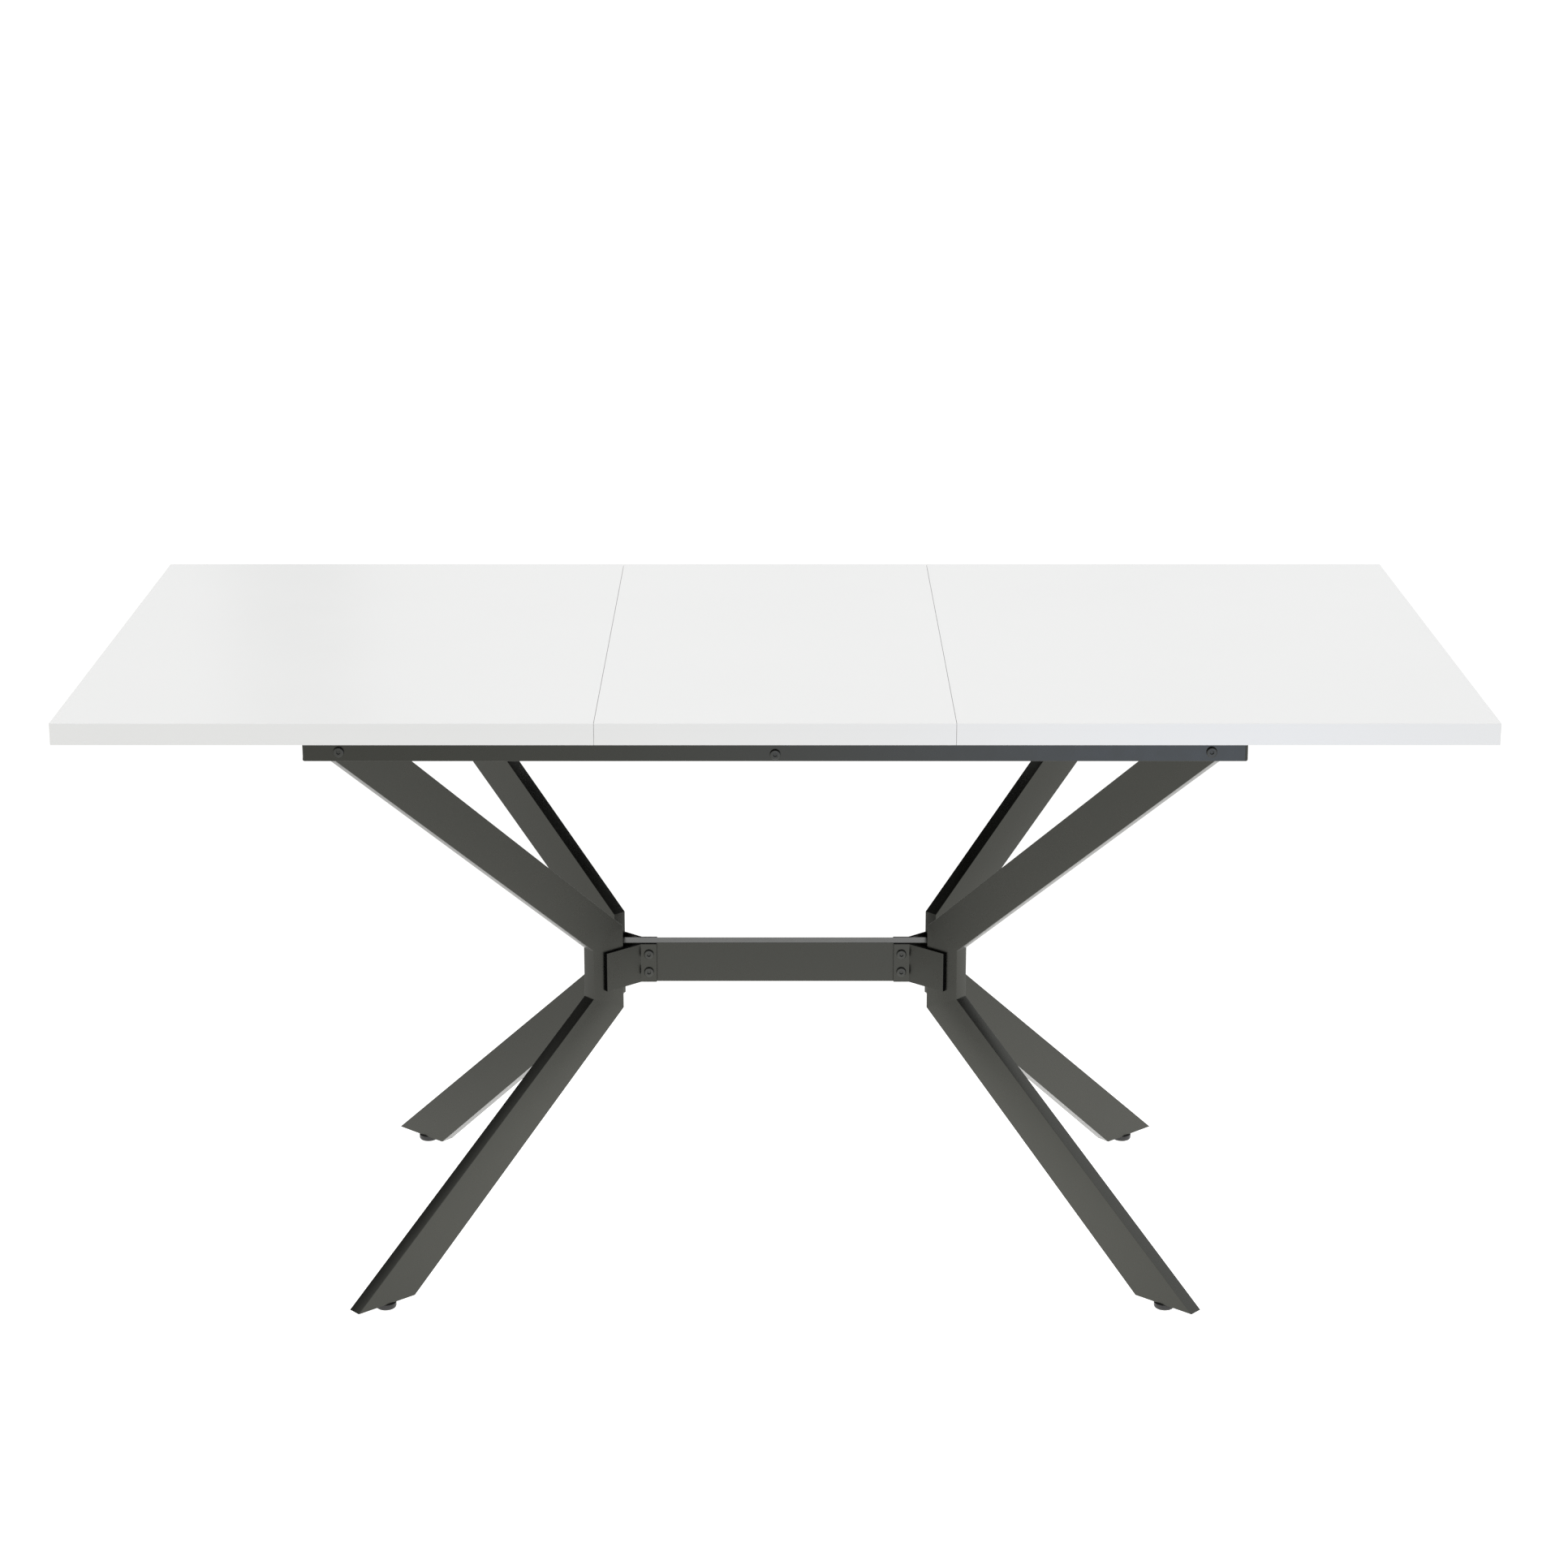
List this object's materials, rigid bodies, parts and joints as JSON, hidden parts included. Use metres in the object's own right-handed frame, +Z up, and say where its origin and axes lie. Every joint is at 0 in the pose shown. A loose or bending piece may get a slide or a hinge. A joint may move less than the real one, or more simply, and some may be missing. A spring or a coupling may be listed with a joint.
{
  "type": "extendable dining table",
  "caption": "Extendable dining table: white top in two sliding halves with a lift-out centre leaf, on dark steel rails, bent splayed legs and a stretcher.",
  "frame": {"origin": "on the floor, under the centre of the extended top", "axes": "+X along the table's length to the right, +Y to the rear, +Z up"},
  "size_m": [1.6, 0.8, 0.762],
  "materials": {
    "white_lacquer": "white gloss lacquer on board",
    "graphite_coat": "satin graphite powder coat",
    "black_plastic": "matt black moulded plastic",
    "graphite_plastic": "satin graphite moulded plastic",
    "dark_screw": "graphite coated steel",
    "zinc_steel": "bright zinc plate"
  },
  "bodies": {
    "frame": {"front_rail": "graphite_coat", "front_rail_left_cap": "graphite_plastic", "front_rail_right_cap": "graphite_plastic", "front_left_rail_screw": "dark_screw", "front_middle_rail_screw": "dark_screw", "front_right_rail_screw": "dark_screw", "rear_rail": "graphite_coat", "rear_rail_left_cap": "graphite_plastic", "rear_rail_right_cap": "graphite_plastic", "rear_left_rail_screw": "dark_screw", "rear_middle_rail_screw": "dark_screw", "rear_right_rail_screw": "dark_screw", "left_cross_bar": "graphite_coat", "middle_cross_bar": "graphite_coat", "right_cross_bar": "graphite_coat", "stretcher_beam": "graphite_coat", "front_left_leg": "graphite_coat", "front_left_leg_plate": "graphite_coat", "front_left_plate_screw_1": "dark_screw", "front_left_plate_screw_2": "dark_screw", "front_left_bracket": "graphite_coat", "front_left_upper_bracket_screw": "dark_screw", "front_left_lower_bracket_screw": "dark_screw", "front_left_slide_channel": "zinc_steel", "front_right_leg": "graphite_coat", "front_right_leg_plate": "graphite_coat", "front_right_plate_screw_1": "dark_screw", "front_right_plate_screw_2": "dark_screw", "front_right_bracket": "graphite_coat", "front_right_upper_bracket_screw": "dark_screw", "front_right_lower_bracket_screw": "dark_screw", "front_right_slide_channel": "zinc_steel", "rear_left_leg": "graphite_coat", "rear_left_leg_plate": "graphite_coat", "rear_left_plate_screw_1": "dark_screw", "rear_left_plate_screw_2": "dark_screw", "rear_left_bracket": "graphite_coat", "rear_left_upper_bracket_screw": "dark_screw", "rear_left_lower_bracket_screw": "dark_screw", "rear_left_slide_channel": "zinc_steel", "rear_right_leg": "graphite_coat", "rear_right_leg_plate": "graphite_coat", "rear_right_plate_screw_1": "dark_screw", "rear_right_plate_screw_2": "dark_screw", "rear_right_bracket": "graphite_coat", "rear_right_upper_bracket_screw": "dark_screw", "rear_right_lower_bracket_screw": "dark_screw", "rear_right_slide_channel": "zinc_steel"},
    "left_top": {"left_top_panel": "white_lacquer", "front_left_slide_runner": "zinc_steel", "rear_left_slide_runner": "zinc_steel"},
    "right_top": {"right_top_panel": "white_lacquer", "front_right_slide_runner": "zinc_steel", "rear_right_slide_runner": "zinc_steel"},
    "leaf": {"centre_leaf": "white_lacquer"},
    "front_left_foot": {"front_left_levelling_foot": "black_plastic"},
    "front_right_foot": {"front_right_levelling_foot": "black_plastic"},
    "rear_left_foot": {"rear_left_levelling_foot": "black_plastic"},
    "rear_right_foot": {"rear_right_levelling_foot": "black_plastic"}
  },
  "joints": [
    {"name": "left_top_slide", "type": "slide", "parent": "frame", "child": "left_top", "axis": [1, 0, 0], "range_m": [0, 0.2]},
    {"name": "right_top_slide", "type": "slide", "parent": "frame", "child": "right_top", "axis": [-1, 0, 0], "range_m": [0, 0.2]},
    {"name": "leaf_lift", "type": "slide", "parent": "frame", "child": "leaf", "axis": [0, 0, 1], "range_m": [0, 0.5]},
    {"name": "front_left_foot_travel", "type": "slide", "parent": "frame", "child": "front_left_foot", "axis": [0, 0, -1], "range_m": [0, 0.01]},
    {"name": "front_right_foot_travel", "type": "slide", "parent": "frame", "child": "front_right_foot", "axis": [0, 0, -1], "range_m": [0, 0.01]},
    {"name": "rear_left_foot_travel", "type": "slide", "parent": "frame", "child": "rear_left_foot", "axis": [0, 0, -1], "range_m": [0, 0.01]},
    {"name": "rear_right_foot_travel", "type": "slide", "parent": "frame", "child": "rear_right_foot", "axis": [0, 0, -1], "range_m": [0, 0.01]}
  ],
  "couplings": [
    {"joint": "right_top_slide", "follows": "left_top_slide", "ratio": 1},
    {"joint": "leaf_lift", "follows": "left_top_slide", "ratio": 2.5}
  ]
}
